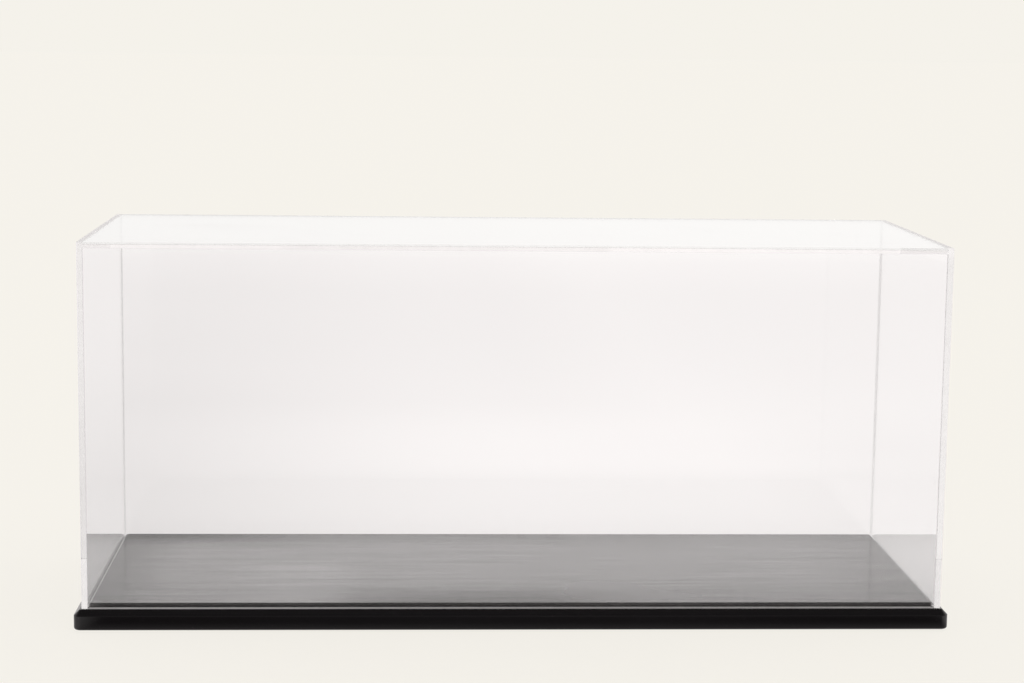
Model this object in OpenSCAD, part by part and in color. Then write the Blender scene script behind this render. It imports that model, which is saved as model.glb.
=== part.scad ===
// Display case: a clear five-sided cover of cemented acrylic sheet that
// stands on a black base board, round a slightly raised display deck.
//
// X runs along the case, Y from the front to the back, Z up.
// The origin lies on the table, under the middle of the base.

/* [Cover] */
// Outside length of the cover
cover_w = 450; // [250:1:700]
// Outside depth of the cover, front to back
cover_d = 166; // [100:1:400]
// Outside height of the cover
cover_h = 191; // [80:1:400]
// Thickness of the acrylic sheet
sheet_t = 3; // [2:0.1:6]

/* [Base board] */
// Thickness of the board, without the deck
board_t = 10.5; // [8:0.5:20]
// How far the board reaches out past the cover on each side
ledge = 4; // [4:0.5:20]
// Size of the 45 degree bevel along the board's upper edge
board_bevel = 3; // [1:0.1:3.5]
// Radius of the round along the board's lower edge
board_round = 1.2; // [0.5:0.1:4]
// Radius of the board's corners, seen from above
board_corner = 4; // [4:0.5:15]

/* [Display deck] */
// Height of the deck above the board
deck_t = 2.5; // [1.5:0.1:8]
// Gap between the deck and the inside of the cover
deck_gap = 0.3; // [0.2:0.1:2]
// Size of the small bevel that takes the sharpness off the deck's upper edge
deck_bevel = 0.3; // [0.2:0.1:1]
// Radius of the deck's corners, seen from above
deck_corner = 1.5; // [1.5:0.5:8]

/* [Feet] */
// Diameter of a foot pad
foot_d = 12; // [6:0.5:20]
// Thickness of a foot pad
foot_t = 1; // [1:0.1:4]
// Distance from the board's sides to the nearest point of a foot pad
foot_inset = 12; // [8:0.5:30]

/* [Hidden] */
$fn = 96;

// The board reaches past the cover all round
board_w = cover_w + 2 * ledge;
board_d = cover_d + 2 * ledge;
// The deck fills the cover's mouth, less the gap
deck_w = cover_w - 2 * (sheet_t + deck_gap);
deck_d = cover_d - 2 * (sheet_t + deck_gap);
// Height of the ledge that the cover stands on
ledge_z = foot_t + board_t;
// Length of the sheets that lie between the two end sheets
span_w = cover_w - 2 * sheet_t;
// Height of the front and back sheets, under the top sheet
wall_h = cover_h - sheet_t;

black_paint = [0.07, 0.07, 0.07];
deck_paint = [0.16, 0.16, 0.16];
pad_grey = [0.25, 0.25, 0.26];
clear_acrylic = [0.90, 0.94, 0.95, 0.35];

// Section across a board: a bevel along its upper edges, and a round along
// its lower ones where round_r is given
module board_section(span, thick, bevel, round_r) {
    polygon([
        [-span / 2, round_r], [span / 2, round_r],
        [span / 2, thick - bevel], [span / 2 - bevel, thick],
        [-span / 2 + bevel, thick], [-span / 2, thick - bevel]
    ]);
    if (round_r > 0) {
        translate([-span / 2 + round_r, 0]) square([span - 2 * round_r, round_r]);
        for (side = [-1, 1]) {
            translate([side * (span / 2 - round_r), round_r]) circle(r = round_r);
        }
    }
}

// A straight length of that section, centred, lying along Y
module board_run(span, length, thick, bevel, round_r) {
    translate([0, length / 2, 0]) rotate([90, 0, 0])
        linear_extrude(height = length) board_section(span, thick, bevel, round_r);
}

// The quarter turn of that section which makes one rounded corner
module board_turn(corner_r, thick, bevel, round_r) {
    rotate_extrude(angle = 90) intersection() {
        board_section(2 * corner_r, thick, bevel, round_r);
        square([corner_r, thick]);
    }
}

// A rectangular board with rounded corners and the section all round it
module edged_board(w, d, thick, corner_r, bevel, round_r = 0) {
    board_run(w, d - 2 * corner_r, thick, bevel, round_r);
    rotate([0, 0, 90]) board_run(d, w - 2 * corner_r, thick, bevel, round_r);
    for (quarter = [0 : 3]) {
        x_side = (quarter == 0 || quarter == 3) ? 1 : -1;
        y_side = quarter < 2 ? 1 : -1;
        translate([x_side * (w / 2 - corner_r), y_side * (d / 2 - corner_r), 0])
            rotate([0, 0, 90 * quarter]) board_turn(corner_r, thick, bevel, round_r);
    }
}

// Painted board that everything stands on
module base_board() {
    color(black_paint) translate([0, 0, foot_t])
        edged_board(board_w, board_d, board_t, board_corner, board_bevel, board_round);
}

// Raised deck, glued on the board, which also keeps the cover in place
module display_deck() {
    color(deck_paint) translate([0, 0, ledge_z])
        edged_board(deck_w, deck_d, deck_t, deck_corner, deck_bevel);
}

// Round pad under one corner of the board
module foot(x_side, y_side) {
    reach = foot_inset + foot_d / 2;
    color(pad_grey)
        translate([x_side * (board_w / 2 - reach), y_side * (board_d / 2 - reach), 0])
            cylinder(d = foot_d, h = foot_t);
}

// Long sheet at the front or the back, between the end sheets and under the top
module long_wall(y_side) {
    color(clear_acrylic)
        translate([-span_w / 2, y_side * (cover_d - sheet_t) / 2 - sheet_t / 2, ledge_z])
            cube([span_w, sheet_t, wall_h]);
}

// End sheet, over the ends of all the others
module end_wall(x_side) {
    color(clear_acrylic)
        translate([x_side * (cover_w - sheet_t) / 2 - sheet_t / 2, -cover_d / 2, ledge_z])
            cube([sheet_t, cover_d, cover_h]);
}

// Top sheet, laid on the long walls between the end sheets
module top_sheet() {
    color(clear_acrylic) translate([-span_w / 2, -cover_d / 2, ledge_z + wall_h])
        cube([span_w, cover_d, sheet_t]);
}

base_board();
display_deck();
foot(-1, -1);  // foot_front_left
foot(1, -1);  // foot_front_right
foot(-1, 1);  // foot_back_left
foot(1, 1);  // foot_back_right
long_wall(-1);  // cover_front
long_wall(1);  // cover_back
end_wall(-1);  // cover_left
end_wall(1);  // cover_right
top_sheet();  // cover_top
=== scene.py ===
import math

import bmesh
import bpy
from mathutils import Euler, Matrix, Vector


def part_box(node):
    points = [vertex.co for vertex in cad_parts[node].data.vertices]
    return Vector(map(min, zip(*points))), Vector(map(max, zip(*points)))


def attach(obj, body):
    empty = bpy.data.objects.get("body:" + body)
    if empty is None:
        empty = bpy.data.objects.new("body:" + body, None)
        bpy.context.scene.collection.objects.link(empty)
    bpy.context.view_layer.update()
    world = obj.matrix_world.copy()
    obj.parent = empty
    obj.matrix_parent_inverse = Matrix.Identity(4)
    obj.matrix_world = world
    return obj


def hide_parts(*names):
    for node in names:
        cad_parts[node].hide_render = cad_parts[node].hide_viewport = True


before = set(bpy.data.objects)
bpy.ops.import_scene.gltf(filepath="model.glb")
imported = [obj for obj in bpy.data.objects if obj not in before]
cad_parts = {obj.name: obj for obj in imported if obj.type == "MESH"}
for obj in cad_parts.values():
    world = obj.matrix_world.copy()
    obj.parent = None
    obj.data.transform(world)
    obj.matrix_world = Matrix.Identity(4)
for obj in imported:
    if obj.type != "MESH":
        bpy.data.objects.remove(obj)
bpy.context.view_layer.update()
scene = bpy.context.scene
bpy.ops.object.select_all(action="DESELECT")


# The camera stands a little left of the middle and above the cover's top, with
# a long lens. It is tipped down, and rolled by less than a degree.
camera_place = (-0.0612, -1.2114, 0.3144)
camera_tip = math.radians(8.14)
camera_turn = math.radians(2.94)
camera_roll = math.radians(0.71)
lens_mm = 78.0
film_width_mm = 36.0
nearest_seen = 0.01
farthest_seen = 100.0

bpy.ops.object.camera_add(location=camera_place)
camera = bpy.context.object
level_aim = Euler((math.pi / 2 - camera_tip, 0, -camera_turn)).to_matrix()
camera.rotation_euler = (level_aim @ Matrix.Rotation(camera_roll, 3, "Z")).to_euler()
camera.data.lens = lens_mm
camera.data.sensor_width = film_width_mm
camera.data.clip_start = nearest_seen
camera.data.clip_end = farthest_seen
scene.camera = camera


# Four self-adhesive pads of dark foam rubber under the board. Each is a punched
# disc with an eased lower edge, held by a film of adhesive that is a little smaller.
pad_film = 0.00015
pad_film_set_in = 0.0002
pad_ease = 0.0004
pad_colour = (0.030, 0.030, 0.031)
pores_per_metre = 2600.0
pore_depth = 0.0001
cells_per_metre = 900.0
smooth_below = math.radians(50)
X, Y, Z = range(3)


def open_for_work(piece, picked_as):
    """Opens a piece in edit mode with nothing selected, and returns its mesh."""
    bpy.ops.object.select_all(action="DESELECT")
    piece.select_set(True)
    bpy.context.view_layer.objects.active = piece
    bpy.ops.object.mode_set(mode="EDIT")
    bpy.ops.mesh.select_mode(type=picked_as)
    bpy.ops.mesh.select_all(action="DESELECT")
    return bmesh.from_edit_mesh(piece.data)


def pick_edges(piece, wanted):
    """Selects the edges that pass the test, in edit mode."""
    mesh = open_for_work(piece, "EDGE")
    for edge in mesh.edges:
        edge.select_set(wanted(*[end.co for end in edge.verts]))
    bmesh.update_edit_mesh(piece.data)


def pick_faces(piece, wanted):
    """Selects the faces whose middle and normal pass the test, in edit mode."""
    mesh = open_for_work(piece, "FACE")
    for face in mesh.faces:
        face.select_set(wanted(face.calc_center_median(), face.normal))
    bmesh.update_edit_mesh(piece.data)


def near(a, b, slack=0.00001):
    """Whether two measures are the same."""
    return abs(a - b) < slack


def in_plane(axis, place):
    """A test for the edges that lie in one level or upright plane."""
    return lambda a, b: near(a[axis], place) and near(b[axis], place)


def ease_edges(offset, segments):
    """Rounds or bevels the edges that are selected in edit mode."""
    bpy.ops.mesh.bevel(offset=offset, offset_type="OFFSET", segments=segments, affect="EDGES")
    bpy.ops.object.mode_set(mode="OBJECT")


def smooth_arrises(piece):
    """Shades the rounded edges smooth, and leaves the flat faces truly flat."""
    bpy.ops.object.select_all(action="DESELECT")
    piece.select_set(True)
    bpy.context.view_layer.objects.active = piece
    bpy.ops.object.shade_smooth_by_angle(angle=smooth_below)
    piece.modifiers.new("flats", "WEIGHTED_NORMAL").keep_sharp = True
    bpy.ops.object.modifier_apply(modifier="flats")


def node_maker(tree):
    """A short way to add a node to a shader tree, set its inputs and wire them."""
    tree.nodes.clear()

    def make(kind, inputs=None, **settings):
        node = tree.nodes.new(kind)
        for key, value in settings.items():
            setattr(node, key, value)
        for key, value in (inputs or {}).items():
            if isinstance(value, bpy.types.NodeSocket):
                tree.links.new(value, node.inputs[key])
            else:
                node.inputs[key].default_value = value
        return node

    return make


def new_finish(name):
    """A material with an empty shader tree, and the maker of its nodes."""
    finish = bpy.data.materials.new(name)
    finish.use_nodes = True
    return finish, node_maker(finish.node_tree)


def noise(make, place, per_metre, detail):
    """A cloudy pattern from 0 to 1, with so many clouds to a metre."""
    node = make("ShaderNodeTexNoise", {"Vector": place, "Scale": per_metre, "Detail": detail})
    return node.outputs["Fac"]


def ranged(make, value, start, end, low, high, smooth=False):
    """A measure that goes from low to high while another goes from start to end."""
    node = make(
        "ShaderNodeMapRange",
        {"Value": value, "From Min": start, "From Max": end, "To Min": low, "To Max": high},
        interpolation_type="SMOOTHSTEP" if smooth else "LINEAR",
    )
    return node.outputs["Result"]


def varied(make, pattern, low, high, reach=0.2, smooth=False):
    """A measure that a noise pattern, which keeps within a reach of 0.5, moves from low to high."""
    return ranged(make, pattern, 0.5 - reach, 0.5 + reach, low, high, smooth)


def scaled(make, colour, share):
    """A colour made darker or lighter by a share."""
    node = make("ShaderNodeVectorMath", {0: colour, "Scale": share}, operation="SCALE")
    return node.outputs["Vector"]


def bumpy(make, height, depth, strength=1.0, under=None):
    """The lean of a skin that stands proud by a pattern, laid over another lean."""
    inputs = {"Height": height, "Strength": strength, "Distance": depth}
    if under is not None:
        inputs["Normal"] = under
    return make("ShaderNodeBump", inputs).outputs["Normal"]


def give_skin(make, inputs):
    """Ends a material in one skin with these inputs."""
    skin = make("ShaderNodeBsdfPrincipled", inputs)
    make("ShaderNodeOutputMaterial", {"Surface": skin.outputs["BSDF"]})


foam_rubber, make = new_finish("foam_rubber")
place = make("ShaderNodeTexCoord").outputs["Object"]
pores = make("ShaderNodeTexVoronoi", {"Vector": place, "Scale": pores_per_metre})
cells = noise(make, place, cells_per_metre, 3.0)
give_skin(
    make,
    {
        "Base Color": scaled(make, pad_colour, varied(make, cells, 0.75, 1.25)),
        "Roughness": 0.8,
        "Specular IOR Level": 0.35,
        "Normal": bumpy(make, pores.outputs["Distance"], pore_depth, 0.5),
    },
)

pad_low, pad_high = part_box("foot_front_left")
pad_radius = (pad_high.x - pad_low.x) / 2
pad_height = pad_high.z - pad_low.z
bpy.ops.mesh.primitive_cylinder_add(
    vertices=64,
    radius=pad_radius,
    depth=pad_height - pad_film,
    location=((pad_low.x + pad_high.x) / 2, (pad_low.y + pad_high.y) / 2, (pad_height - pad_film) / 2),
)
pad = bpy.context.object
bpy.ops.object.transform_apply(location=True, rotation=True, scale=True)
pick_edges(pad, in_plane(Z, 0))
ease_edges(pad_ease, 4)
pick_faces(pad, lambda middle, normal: normal.z > 0.9)
bpy.ops.mesh.inset(thickness=pad_film_set_in, depth=0)
bpy.ops.mesh.extrude_region_move(TRANSFORM_OT_translate={"value": (0, 0, pad_film)})
bpy.ops.object.mode_set(mode="OBJECT")
smooth_arrises(pad)
pad.data.materials.append(foam_rubber)

for corner in ("front_left", "front_right", "back_left", "back_right"):
    low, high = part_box("foot_" + corner)
    foot = pad.copy()
    foot.data = pad.data.copy()
    foot.data.transform(Matrix.Translation(low - pad_low))
    foot.name = "pad_" + corner
    scene.collection.objects.link(foot)
    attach(foot, "base")
    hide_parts("foot_" + corner)
bpy.data.objects.remove(pad)


# The base board: fibreboard, cut with rounded corners, routed with a bevel along
# its upper edge and a round along its lower one, then sprayed with satin black paint.
board_corner = 0.004
board_bevel = 0.003
board_round = 0.0012
board_arris = 0.00015
board_colour = (0.0025, 0.0016, 0.0022)
clouds_per_metre = 40.0
cloud_stretch = (0.12, 1.0, 1.0)
peel_per_metre = 700.0
peel_height = 0.00004
specks_per_metre = 2600.0
speck_height = 0.00002
soften_above = math.radians(30)


def start_block(name, low, high):
    """A block at its size and place, which is then worked in edit mode."""
    size = [b - a for a, b in zip(low, high)]
    middle = [(a + b) / 2 for a, b in zip(low, high)]
    bpy.ops.object.select_all(action="DESELECT")
    bpy.ops.mesh.primitive_cube_add(size=1, location=middle, scale=size)
    block = bpy.context.object
    block.name = name
    bpy.ops.object.transform_apply(location=True, rotation=True, scale=True)
    return block


def soften(piece, width, segments=3):
    """Takes the sharpness off every edge that still turns sharply."""
    bevel = piece.modifiers.new("arrises", "BEVEL")
    bevel.limit_method = "ANGLE"
    bevel.angle_limit = soften_above
    bevel.width = width
    bevel.segments = segments
    bpy.context.view_layer.objects.active = piece
    bpy.ops.object.modifier_apply(modifier="arrises")
    smooth_arrises(piece)


def round_corners(piece, radius, segments):
    """Rounds the four upright edges of a block."""
    pick_edges(piece, lambda a, b: not near(a.z, b.z))
    ease_edges(radius, segments)


def shape_rim(piece, height, offset, segments):
    """Bevels or rounds the whole rim of a board at one height."""
    pick_edges(piece, in_plane(Z, height))
    ease_edges(offset, segments)


satin_paint, make = new_finish("satin_black_paint")
place = make("ShaderNodeTexCoord").outputs["Object"]
along_board = make("ShaderNodeMapping", {"Vector": place, "Scale": cloud_stretch})
clouds = noise(make, along_board.outputs["Vector"], clouds_per_metre, 3.0)
peel = noise(make, place, peel_per_metre, 2.0)
specks = noise(make, place, specks_per_metre, 1.0)
orange_peel = bumpy(make, peel, peel_height, 0.25)
give_skin(
    make,
    {
        "Base Color": scaled(make, board_colour, varied(make, clouds, 0.8, 1.2)),
        "Roughness": varied(make, clouds, 0.18, 0.24),
        "Specular IOR Level": 0.50,
        "Normal": bumpy(make, specks, speck_height, 0.15, orange_peel),
    },
)

board_low, board_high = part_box("base_board")
board = start_block("painted_board", board_low, board_high)
round_corners(board, board_corner, 14)
shape_rim(board, board_high.z, board_bevel, 1)
shape_rim(board, board_low.z, board_round, 4)
soften(board, board_arris)
board.data.materials.append(satin_paint)
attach(board, "base")
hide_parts("base_board")


# The display deck: a thin panel of black satin laminate, glued on the board just
# inside the cover, with softly rounded upper edges. It also keeps the cover in place.
deck_corner = 0.0025
deck_arris = 0.0011
deck_colour = (0.066, 0.061, 0.060)
brush_per_metre = 260.0
brush_stretch = (0.05, 1.0, 1.0)
brush_depth = 0.000003
film_per_metre = 9.0
film_stretch = (0.35, 1.0, 1.0)
laminate_reach = 0.25

# Painted shade and light in the deck's shine: its coat is made duller along the front and back rims
# and the ends, and brighter in a patch left of the middle, towards the front. For each: the axis it
# changes along, where it is dull and where it is bright, and how much of the shine is left at each.
front_sheen_shade_left = ("X", -0.04, -0.12, 0.57, 1.06)
front_sheen_shade_right = ("X", 0.0, 0.08, 0.57, 0.97)
back_sheen_shade_left = ("X", -0.20, -0.09, 0.0, 0.54)
back_sheen_shade_right = ("X", 0.0, 0.05, 0.0, 0.74)
left_end = ("X", -0.222, -0.175, 0.64, 1.0)
right_end = ("X", 0.222, 0.150, 0.84, 1.0)
front_rim = ("Y", -0.079, -0.036)
back_rim = ("Y", 0.080, 0.040)
sheen_patch_starts = ("X", -0.175, -0.115, 0.0, 1.0)
sheen_patch_ends = ("X", -0.075, -0.105, 0.0, 1.0)
sheen_patch_back = ("Y", 0.045, -0.015, 0.0, 1.0)
sheen_patch_strength = (0.0, 1.0, 0.94, 1.12)
rounded_ends = (0.2203, 0.2207, 0.0, 1.0)

laminate, make = new_finish("black_satin_laminate")
place = make("ShaderNodeTexCoord").outputs["Object"]
along_deck = make("ShaderNodeMapping", {"Vector": place, "Scale": brush_stretch})
drawn_out = make("ShaderNodeMapping", {"Vector": place, "Scale": film_stretch})
on_deck = make("ShaderNodeSeparateXYZ", {"Vector": place})
brush = noise(make, along_deck.outputs["Vector"], brush_per_metre, 3.0)
film = noise(make, drawn_out.outputs["Vector"], film_per_metre, 2.0)


def combined(make, how, a, b):
    """One measure made of two: their product, their sum, the larger of both and so on."""
    return make("ShaderNodeMath", {0: a, 1: b}, operation=how).outputs["Value"]


def painted_sheen(axis, dull_at, bright_at, dull, bright):
    """Painted shade and light in the deck's shine: how much of it is left, from a dull place on the
    deck to a bright one.
    """
    return ranged(make, on_deck.outputs[axis], dull_at, bright_at, dull, bright, smooth=True)


dust = varied(make, film, 0.7, 1.3, laminate_reach, smooth=True)
streaks = varied(make, brush, 0.85, 1.15, laminate_reach)
dusty_streaks = combined(make, "MULTIPLY", dust, streaks)
deck_gloss = varied(make, film, 0.20, 0.28, laminate_reach, smooth=True)

# Painted shade and light: the coat's shine is lowered along the rims and ends as painted shade, and
# raised in a patch left of the middle as painted sheen.
front_shine = combined(make, "MAXIMUM", painted_sheen(*front_sheen_shade_left), painted_sheen(*front_sheen_shade_right))
back_shine = combined(make, "MAXIMUM", painted_sheen(*back_sheen_shade_left), painted_sheen(*back_sheen_shade_right))
shine = combined(make, "MULTIPLY", painted_sheen(*left_end), painted_sheen(*right_end))
shine = combined(make, "MULTIPLY", shine, painted_sheen(*front_rim, front_shine, 1.0))
shine = combined(make, "MULTIPLY", shine, painted_sheen(*back_rim, back_shine, 1.0))
sheen_patch = combined(make, "MULTIPLY", painted_sheen(*sheen_patch_starts), painted_sheen(*sheen_patch_ends))
sheen_patch = combined(make, "MULTIPLY", sheen_patch, painted_sheen(*sheen_patch_back))
sheen_patch = ranged(make, sheen_patch, *sheen_patch_strength)
shine = combined(make, "MULTIPLY", shine, sheen_patch)
streaky = varied(make, brush, 0.84, 1.17, laminate_reach)
shine = combined(make, "MULTIPLY", shine, streaky)
off_middle = make("ShaderNodeMath", {0: on_deck.outputs["X"]}, operation="ABSOLUTE")
on_rounded_end = ranged(make, off_middle.outputs["Value"], *rounded_ends)
shine = combined(make, "MAXIMUM", shine, on_rounded_end)
grain = bumpy(make, brush, brush_depth)
give_skin(
    make,
    {
        "Base Color": scaled(make, deck_colour, dusty_streaks),
        "Roughness": deck_gloss,
        "IOR": 1.5,
        "Specular IOR Level": 0.10,
        "Normal": grain,
        "Coat Weight": shine,
        "Coat Roughness": 0.12,
        "Coat IOR": 1.5,
        "Coat Normal": grain,
    },
)

deck_low, deck_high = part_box("display_deck")
deck = start_block("deck_panel", deck_low, deck_high)
round_corners(deck, deck_corner, 6)
shape_rim(deck, deck_high.z, deck_arris, 6)
smooth_arrises(deck)
deck.data.materials.append(laminate)
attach(deck, "base")
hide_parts("display_deck")


# The cover's two long walls: clear cast acrylic sheet, cemented between the end
# walls and under the top. Only their feet are free, and stand on the board's ledge.
seam = 0.00004
foot_clearance = 0.00006
free_arris = 0.0001
foot_rubbed = 0.00042
acrylic_ior = 1.49
cement_ior = 1.0002
bow_per_metre = 7.0
bow_height = 0.00006

# The finishes of a sheet, in the order of its material slots
flat_face, side_edge, end_edge, top_edge, foot_edge, front_strip, back_strip = range(7)

clear_acrylic, make = new_finish("clear_acrylic")
place = make("ShaderNodeTexCoord").outputs["Object"]
bow = noise(make, place, bow_per_metre, 1.0)
give_skin(
    make,
    {
        "Base Color": (0.996, 0.998, 0.997, 1.0),
        "Roughness": 0.0,
        "IOR": acrylic_ior,
        "Transmission Weight": 1.0,
        "Normal": bumpy(make, bow, bow_height),
    },
)


def edge_finish(
    name, colour, roughness, clearness, mark_size=0.004, mark_depth=0.00001, sheen=0.5, ior=acrylic_ior
):
    """A worked edge of the sheet: clear, with some of its light scattered by fine tool marks."""
    finish, make = new_finish(name)
    place = make("ShaderNodeTexCoord").outputs["Object"]
    marks = noise(make, place, 1 / mark_size, 2.0)
    give_skin(
        make,
        {
            "Base Color": scaled(make, colour, varied(make, marks, 0.94, 1.0)),
            "Roughness": roughness,
            "IOR": ior,
            "Transmission Weight": clearness,
            "Specular IOR Level": sheen,
            "Normal": bumpy(make, marks, mark_depth),
        },
    )
    return finish


polished_edge = edge_finish("polished_edge", (0.998, 0.993, 0.990), 0.02, 1.0, mark_size=0.006)
fused_joint = edge_finish("fused_joint", (0.99, 0.99, 0.99), 0.04, 0.98)
sawn_foot = edge_finish("sawn_foot", (0.97, 0.965, 0.96), 0.80, 0.0, mark_size=0.002, sheen=0.0)

# The cement of a joint has the acrylic's own index, so light goes straight on through
# it. These finishes bend no light, and only take a little away as haze.
front_cement = edge_finish("front_cement", (0.94, 0.93, 0.94), 0.0, 0.89, sheen=0.0, ior=cement_ior)
back_cement = edge_finish("back_cement", (0.97, 0.97, 0.97), 0.0, 0.97, sheen=0.0, ior=cement_ior)


def score(piece, place, facing):
    """Splits the faces of a piece where a plane crosses them."""
    pick_faces(piece, lambda middle, normal: True)
    bpy.ops.mesh.bisect(plane_co=place, plane_no=facing)
    bpy.ops.object.mode_set(mode="OBJECT")


def cut_sheet(side, low, high, thin_axis, finishes, free_edges=None, rubbed_foot=0):
    """Cuts one sheet, eases its free edges, finishes its cut faces and hangs it on the cover."""
    piece = start_block("sheet_" + side, low, high)
    if free_edges:
        pick_edges(piece, free_edges)
        ease_edges(free_arris, 3)
    if rubbed_foot:
        score(piece, (0, 0, low.z + rubbed_foot), (0, 0, 1))
    for finish in finishes:
        piece.data.materials.append(finish)
    for face in piece.data.polygons:
        if face.center.z < low.z + rubbed_foot:
            face.material_index = foot_edge
        elif abs(face.normal[thin_axis]) > 0.99:
            face.material_index = flat_face
        elif abs(face.normal.x) > 0.9:
            face.material_index = end_edge
        elif face.normal.z > 0.9:
            face.material_index = top_edge
        elif face.normal.z < -0.9:
            face.material_index = foot_edge
        else:
            face.material_index = side_edge
    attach(piece, "cover")
    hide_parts("cover_" + side)
    return piece


for side, cement in (("front", front_cement), ("back", back_cement)):
    low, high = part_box("cover_" + side)
    low.x, high.x = low.x + seam, high.x - seam
    low.z, high.z = low.z + foot_clearance, high.z - seam
    wall_finishes = (clear_acrylic, polished_edge, cement, fused_joint, sawn_foot)
    cut_sheet(side, low, high, Y, wall_finishes, rubbed_foot=foot_rubbed)


# The two end walls: the same sheet, cemented over the ends of the other three, with
# flame polished edges and eased outer arrises. Their upper edge is left from sanding,
# and their inner face carries the cement where the long walls' ends meet it.
sanded_edge = edge_finish("sanded_edge", (0.985, 0.98, 0.975), 0.35, 0.25, mark_depth=0.00002)
upright_edge = edge_finish("upright_edge", (0.986, 0.991, 0.986), 0.03, 0.965, mark_size=0.006)
end_finishes = (
    clear_acrylic, upright_edge, upright_edge, sanded_edge, upright_edge, front_cement, back_cement
)

front_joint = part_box("cover_front")[1].y
back_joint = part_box("cover_back")[0].y
top_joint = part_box("cover_top")[0].z

for side in ("left", "right"):
    low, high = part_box("cover_" + side)
    low.z = low.z + foot_clearance
    outer_x, inner_x = (low.x, high.x) if side == "left" else (high.x, low.x)
    on_outside = in_plane(X, outer_x)
    on_foot = in_plane(Z, low.z)
    wall = cut_sheet(side, low, high, X, end_finishes, lambda a, b: on_outside(a, b) or on_foot(a, b))
    score(wall, (0, front_joint, 0), (0, 1, 0))
    score(wall, (0, back_joint, 0), (0, 1, 0))
    score(wall, (0, 0, top_joint), (0, 0, 1))
    for face in wall.data.polygons:
        if near(face.center.x, inner_x) and face.center.z < top_joint:
            if face.center.y < front_joint:
                face.material_index = front_strip
            elif face.center.y > back_joint:
                face.material_index = back_strip


# The top sheet: laid on the long walls between the end walls, and cemented all
# round. Its front and back edges are polished flush with the long walls.
end_joint = edge_finish("end_joint", (0.98, 0.975, 0.975), 0.12, 0.90, mark_depth=0.00004)

low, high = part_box("cover_top")
low.x, high.x = low.x + seam, high.x - seam
on_upper_face = in_plane(Z, high.z)
top_finishes = (clear_acrylic, polished_edge, end_joint, clear_acrylic, clear_acrylic)
cut_sheet("top", low, high, Z, top_finishes, lambda a, b: on_upper_face(a, b) and near(a.y, b.y))


# The studio: a pale floor that runs on into a dome of even light, which is bright
# behind the case and dimmer on the camera's side, and one broad soft lamp overhead.
floor_size = 40
floor_cream = (0.929, 0.9035, 0.8435, 1.0)
white_paper = (1.0, 0.965, 0.958)
own_glow = 0.90

# How light the floor is from the camera's side to far behind the case, as places along Y with their
# tones: seen straight through the sheets, and mirrored in them. These tones are painted shade. Seen
# through, the floor is darker just behind the case, as its shadow, and darker in a band farther back.
# Mirrored, it is darker on the camera's side and darkest right in front of the board.
seen_through = [
    (0.08, 1.0), (0.13, 0.95), (0.165, 0.96), (0.20, 0.98), (0.32, 1.0),
    (0.45, 1.0), (0.62, 0.955), (1.0, 0.94), (1.4, 0.94), (1.9, 0.99),
]
mirrored = [
    (-2.3, 1.0), (-2.05, 0.97), (-1.9, 0.72), (-1.0, 0.72), (-0.6, 0.82), (-0.35, 0.95),
    (-0.2, 0.85), (-0.17, 0.6), (-0.147, 0.3), (-0.137, 0.24), (-0.128, 0.07), (-0.105, 0.04),
    (-0.088, 0.6), (-0.06, 0.98), (0.15, 0.98), (0.35, 0.95),
]

# Painted shade and light on the floor at its sides: how far it is dimmer or lighter there, the X where
# each change starts and ends, what is taken or given there, and how much of it is felt along Y.
dims_left = (-0.36, 0.05, 0.16, 0.0)
dims_left_along = [(0.0, 1.0), (0.35, 1.0), (0.8, 0.28), (1.2, 0.08), (2.3, 0.0)]
dims_right = (0.18, 0.32, 0.0, 0.06)
dims_right_along = [(0.12, 0.0), (0.18, 1.0), (0.42, 1.0), (0.62, 0.3), (1.0, 0.1), (1.8, 0.1)]
lights_right = (0.05, 0.17, 0.0, 0.04)
lights_right_along = [(0.0, 0.0), (0.45, 0.0), (0.62, 0.75), (1.8, 0.75)]

floor_paper, make = new_finish("floor_paper")
ray = make("ShaderNodeLightPath")
place = make("ShaderNodeTexCoord").outputs["Object"]
where = make("ShaderNodeSeparateXYZ", {"Vector": place})
across = where.outputs["X"]
away = where.outputs["Y"]


def tones_along_y(stops):
    """A grey that follows the floor from the camera's side to far behind the case."""
    first, last = stops[0][0], stops[-1][0]
    along = make("ShaderNodeMapRange", {"Value": away, "From Min": first, "From Max": last})
    node = make("ShaderNodeValToRGB", {"Fac": along.outputs["Result"]})
    ramp = node.color_ramp
    while len(ramp.elements) < len(stops):
        ramp.elements.new(0.5)
    for element, (y, tone) in zip(ramp.elements, stops):
        element.position = (y - first) / (last - first)
        element.color = (tone, tone, tone, 1.0)
    return node.outputs["Color"]


def change_at_side(side, along, smooth=False):
    """What is taken from the floor's light, or given to it, towards one side."""
    change = ranged(make, across, *side, smooth=smooth)
    return combined(make, "MULTIPLY", change, tones_along_y(along))


dimmer_left = change_at_side(dims_left, dims_left_along, smooth=True)
dimmer_right = change_at_side(dims_right, dims_right_along)
lighter_right = change_at_side(lights_right, lights_right_along)
dimmed = combined(make, "ADD", dimmer_left, dimmer_right)
undimmed = combined(make, "SUBTRACT", 1.0, dimmed)
painted_side_light = combined(make, "ADD", undimmed, lighter_right)

# Right in front of the board the mirrored floor is painted dark, and farther in front it is darker
# towards the left: painted shade that the board and the sheets reflect. Past the board's ends it is
# light again.
left_end_passed = (-0.218, -0.232, 0.0, 1.0)
right_end_passed = (0.228, 0.248, 0.0, 1.0)
front_reached = (-0.16, -0.14, 0.0, 1.0)
front_left_dims = (-0.33, -0.02, 0.30, 0.0)
front_left_fades = (-0.20, -0.15, 1.0, 0.0)

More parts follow.
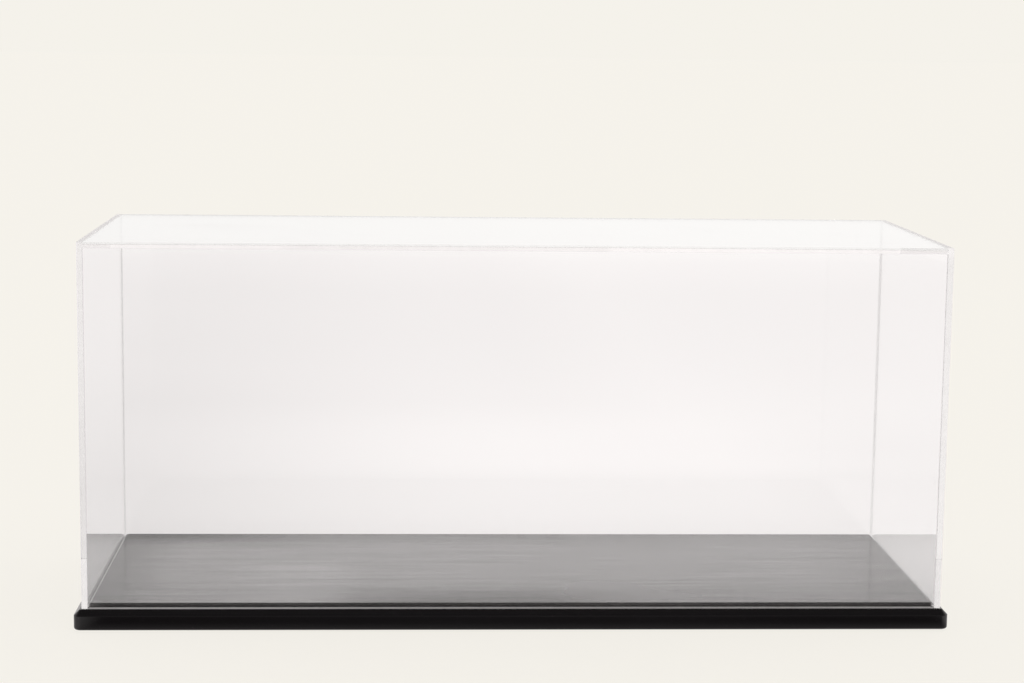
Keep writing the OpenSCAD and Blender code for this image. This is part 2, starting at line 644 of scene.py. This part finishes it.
past_left = ranged(make, across, *left_end_passed)
past_right = ranged(make, across, *right_end_passed)
past_ends = combined(make, "ADD", past_left, past_right)
light_ends = combined(make, "MULTIPLY", past_ends, ranged(make, away, *front_reached))
tone_mirrored = combined(make, "MAXIMUM", tones_along_y(mirrored), light_ends)
darker_left = ranged(make, across, *front_left_dims, smooth=True)
front_left = combined(make, "MULTIPLY", darker_left, ranged(make, away, *front_left_fades))
kept_left = combined(make, "SUBTRACT", 1.0, front_left)
tone_mirrored = combined(make, "MULTIPLY", tone_mirrored, kept_left)

was_mirrored = combined(make, "MINIMUM", ray.outputs["Glossy Depth"], 1.0)
tone_seen = tones_along_y(seen_through)
tone = make("ShaderNodeMixRGB", {"Fac": was_mirrored, "Color1": tone_seen, "Color2": tone_mirrored})
shaded = scaled(make, tone.outputs["Color"], painted_side_light)
in_the_case = make("ShaderNodeVectorMath", {0: shaded, 1: white_paper}, operation="MULTIPLY")
own_colour = make(
    "ShaderNodeMixRGB",
    {
        "Fac": ray.outputs["Is Camera Ray"],
        "Color1": in_the_case.outputs["Vector"],
        "Color2": floor_cream,
    },
).outputs["Color"]
glow = ranged(make, ray.outputs["Is Diffuse Ray"], 0.0, 1.0, own_glow, 0.0)
lit_paper = make("ShaderNodeBsdfDiffuse", {"Color": own_colour})
own_white = make("ShaderNodeEmission", {"Color": own_colour, "Strength": 1.0})
paper = make(
    "ShaderNodeMixShader",
    {0: glow, 1: lit_paper.outputs["BSDF"], 2: own_white.outputs["Emission"]},
)
make("ShaderNodeOutputMaterial", {"Surface": paper.outputs["Shader"]})

bpy.ops.mesh.primitive_plane_add(size=floor_size)
floor = bpy.context.object
floor.name = "studio_floor"
floor.data.materials.append(floor_paper)

backdrop_cream = (0.912, 0.887, 0.828, 1.0)
dome_low = (1.0, 0.992, 0.975, 1.0)
dome_high = (1.0, 0.960, 0.955, 1.0)

# How the dome's light and tint change with the heading: where a change starts and
# ends, as the heading's share along an axis, and the light there.
front_to_back = (-0.7, 0.3, 0.45, 0.97)
left_to_right = (-0.35, 0.05, 0.92, 0.985)
far_left = (-0.90, -0.50, 0.84, 1.0)
overhead = (0.50, 0.78, 0.0, 0.77)
low_to_high = (0.12, 0.20, 0.0, 1.0)

dome = bpy.data.worlds.new("studio_dome")
dome.use_nodes = True
scene.world = dome
make = node_maker(dome.node_tree)
ray = make("ShaderNodeLightPath")
heading = make("ShaderNodeSeparateXYZ", {"Vector": make("ShaderNodeTexCoord").outputs["Generated"]})
sideways = heading.outputs["X"]
forwards = heading.outputs["Y"]
upwards = heading.outputs["Z"]

behind = ranged(make, forwards, *front_to_back, smooth=True)
to_the_right = ranged(make, sideways, *left_to_right, smooth=True)
dome_strength = combined(make, "MULTIPLY", behind, to_the_right)
dome_strength = combined(make, "MULTIPLY", dome_strength, ranged(make, sideways, *far_left))

# Overhead the dome is dark to mirrored rays only: a painted dark reflection, as a flag would give, so
# that nothing mirrors a bright ceiling
dark_overhead = ranged(make, upwards, *overhead)
mirrored_dark = combined(make, "MULTIPLY", dark_overhead, ray.outputs["Is Glossy Ray"])
mirrored_kept = combined(make, "SUBTRACT", 1.0, mirrored_dark)
dome_strength = combined(make, "MULTIPLY", dome_strength, mirrored_kept)

height = ranged(make, upwards, *low_to_high)
dome_colour = make("ShaderNodeMixRGB", {"Fac": height, "Color1": dome_low, "Color2": dome_high})
dome_light = make(
    "ShaderNodeBackground",
    {"Color": dome_colour.outputs["Color"], "Strength": dome_strength},
)
backdrop = make("ShaderNodeBackground", {"Color": backdrop_cream, "Strength": 1.0})
seen = make(
    "ShaderNodeMixShader",
    {
        0: ray.outputs["Is Camera Ray"],
        1: dome_light.outputs["Background"],
        2: backdrop.outputs["Background"],
    },
)
make("ShaderNodeOutputWorld", {"Surface": seen.outputs["Shader"]})

lamp_place = (0.6, 0.4, 2.5)
lamp_lean = (math.radians(-10), math.radians(14), 0)
lamp_spread = math.radians(80)
lamp_strength = 0.5

bpy.ops.object.light_add(type="SUN", location=lamp_place)
lamp = bpy.context.object
lamp.data.energy = lamp_strength
lamp.data.angle = lamp_spread
lamp.visible_glossy = False
lamp.rotation_euler = lamp_lean

# Light crosses many faces of clear sheet before it is out of the case again
most_crossings = 96
scene.cycles.max_bounces = most_crossings
scene.cycles.transmission_bounces = most_crossings
scene.cycles.glossy_bounces = most_crossings
scene.view_settings.view_transform = "Standard"
